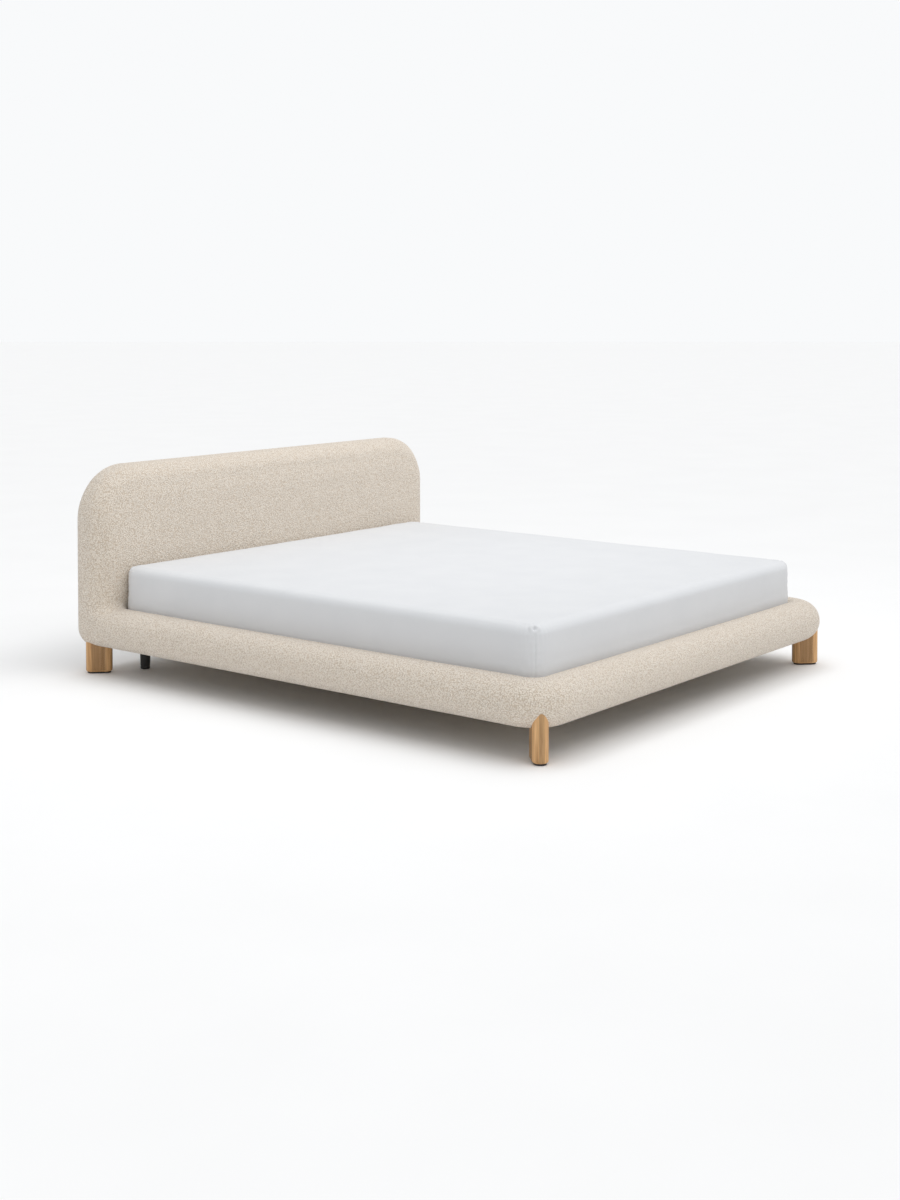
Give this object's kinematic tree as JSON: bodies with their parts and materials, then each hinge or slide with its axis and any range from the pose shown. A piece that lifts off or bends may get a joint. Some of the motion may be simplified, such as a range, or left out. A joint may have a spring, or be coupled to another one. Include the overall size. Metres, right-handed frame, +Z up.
{
  "type": "upholstered headboard bed",
  "caption": "Low bed with a rounded padded headboard, fat wrapped side and foot rails, slatted base, mattress in a fitted sheet and oak corner legs.",
  "frame": {"origin": "on the floor, under the centre of the bed's outer box", "axes": "+Z up; +Y from the foot towards the headboard; +X to the right seen from the foot"},
  "size_m": [2.05, 2.28, 0.82],
  "materials": {
    "boucle": "matte",
    "oak": "satin",
    "pine": "matte",
    "plywood": "matte",
    "birch": "satin",
    "black_plastic": "matte",
    "zinc_steel": "satin",
    "webbing": "matte",
    "lining": "matte",
    "ticking": "matte",
    "white_cotton": "matte"
  },
  "bodies": {
    "root": {"beam_bracket_foot": "zinc_steel", "beam_bracket_head": "zinc_steel", "beam_support_leg_1": "black_plastic", "beam_support_leg_2": "black_plastic", "beam_support_leg_3": "black_plastic", "centre_beam": "pine", "foot_corner_bracket_left": "zinc_steel", "foot_corner_bracket_right": "zinc_steel", "foot_leg_glide_left": "black_plastic", "foot_leg_glide_right": "black_plastic", "foot_leg_left": "oak", "foot_leg_right": "oak", "foot_rail_board": "pine", "foot_rail_bolster": "boucle", "head_cross_board": "pine", "head_leg_glide_left": "black_plastic", "head_leg_glide_right": "black_plastic", "head_leg_left": "oak", "head_leg_right": "oak", "head_support_leg_left": "black_plastic", "head_support_leg_right": "black_plastic", "headboard_back_cover": "lining", "headboard_corner_block_left": "plywood", "headboard_corner_block_right": "plywood", "headboard_cross_rail": "pine", "headboard_front_panel": "plywood", "headboard_middle_stud": "pine", "headboard_post_left": "pine", "headboard_post_right": "pine", "headboard_top_rail": "pine", "headboard_upholstery": "boucle", "rail_hanger_left": "zinc_steel", "rail_hanger_right": "zinc_steel", "side_rail_board_left": "pine", "side_rail_board_right": "pine", "side_rail_bolster_left": "boucle", "side_rail_bolster_right": "boucle", "slat_ledge_left": "pine", "slat_ledge_right": "pine"},
    "slat_base": {"slat_01": "birch", "slat_02": "birch", "slat_03": "birch", "slat_04": "birch", "slat_05": "birch", "slat_06": "birch", "slat_07": "birch", "slat_08": "birch", "slat_09": "birch", "slat_10": "birch", "slat_11": "birch", "slat_12": "birch", "slat_13": "birch", "slat_14": "birch", "slat_tape_left": "webbing", "slat_tape_right": "webbing"},
    "mattress": {"mattress": "ticking", "fitted_sheet": "white_cotton"}
  },
  "joints": [
    {"name": "slat_base_lift", "type": "slide", "parent": "root", "child": "slat_base", "axis": [0, 0, 1], "range_m": [0, 0.65]},
    {"name": "mattress_lift", "type": "slide", "parent": "slat_base", "child": "mattress", "axis": [0, 0, 1], "range_m": [0, 0.65]}
  ]
}
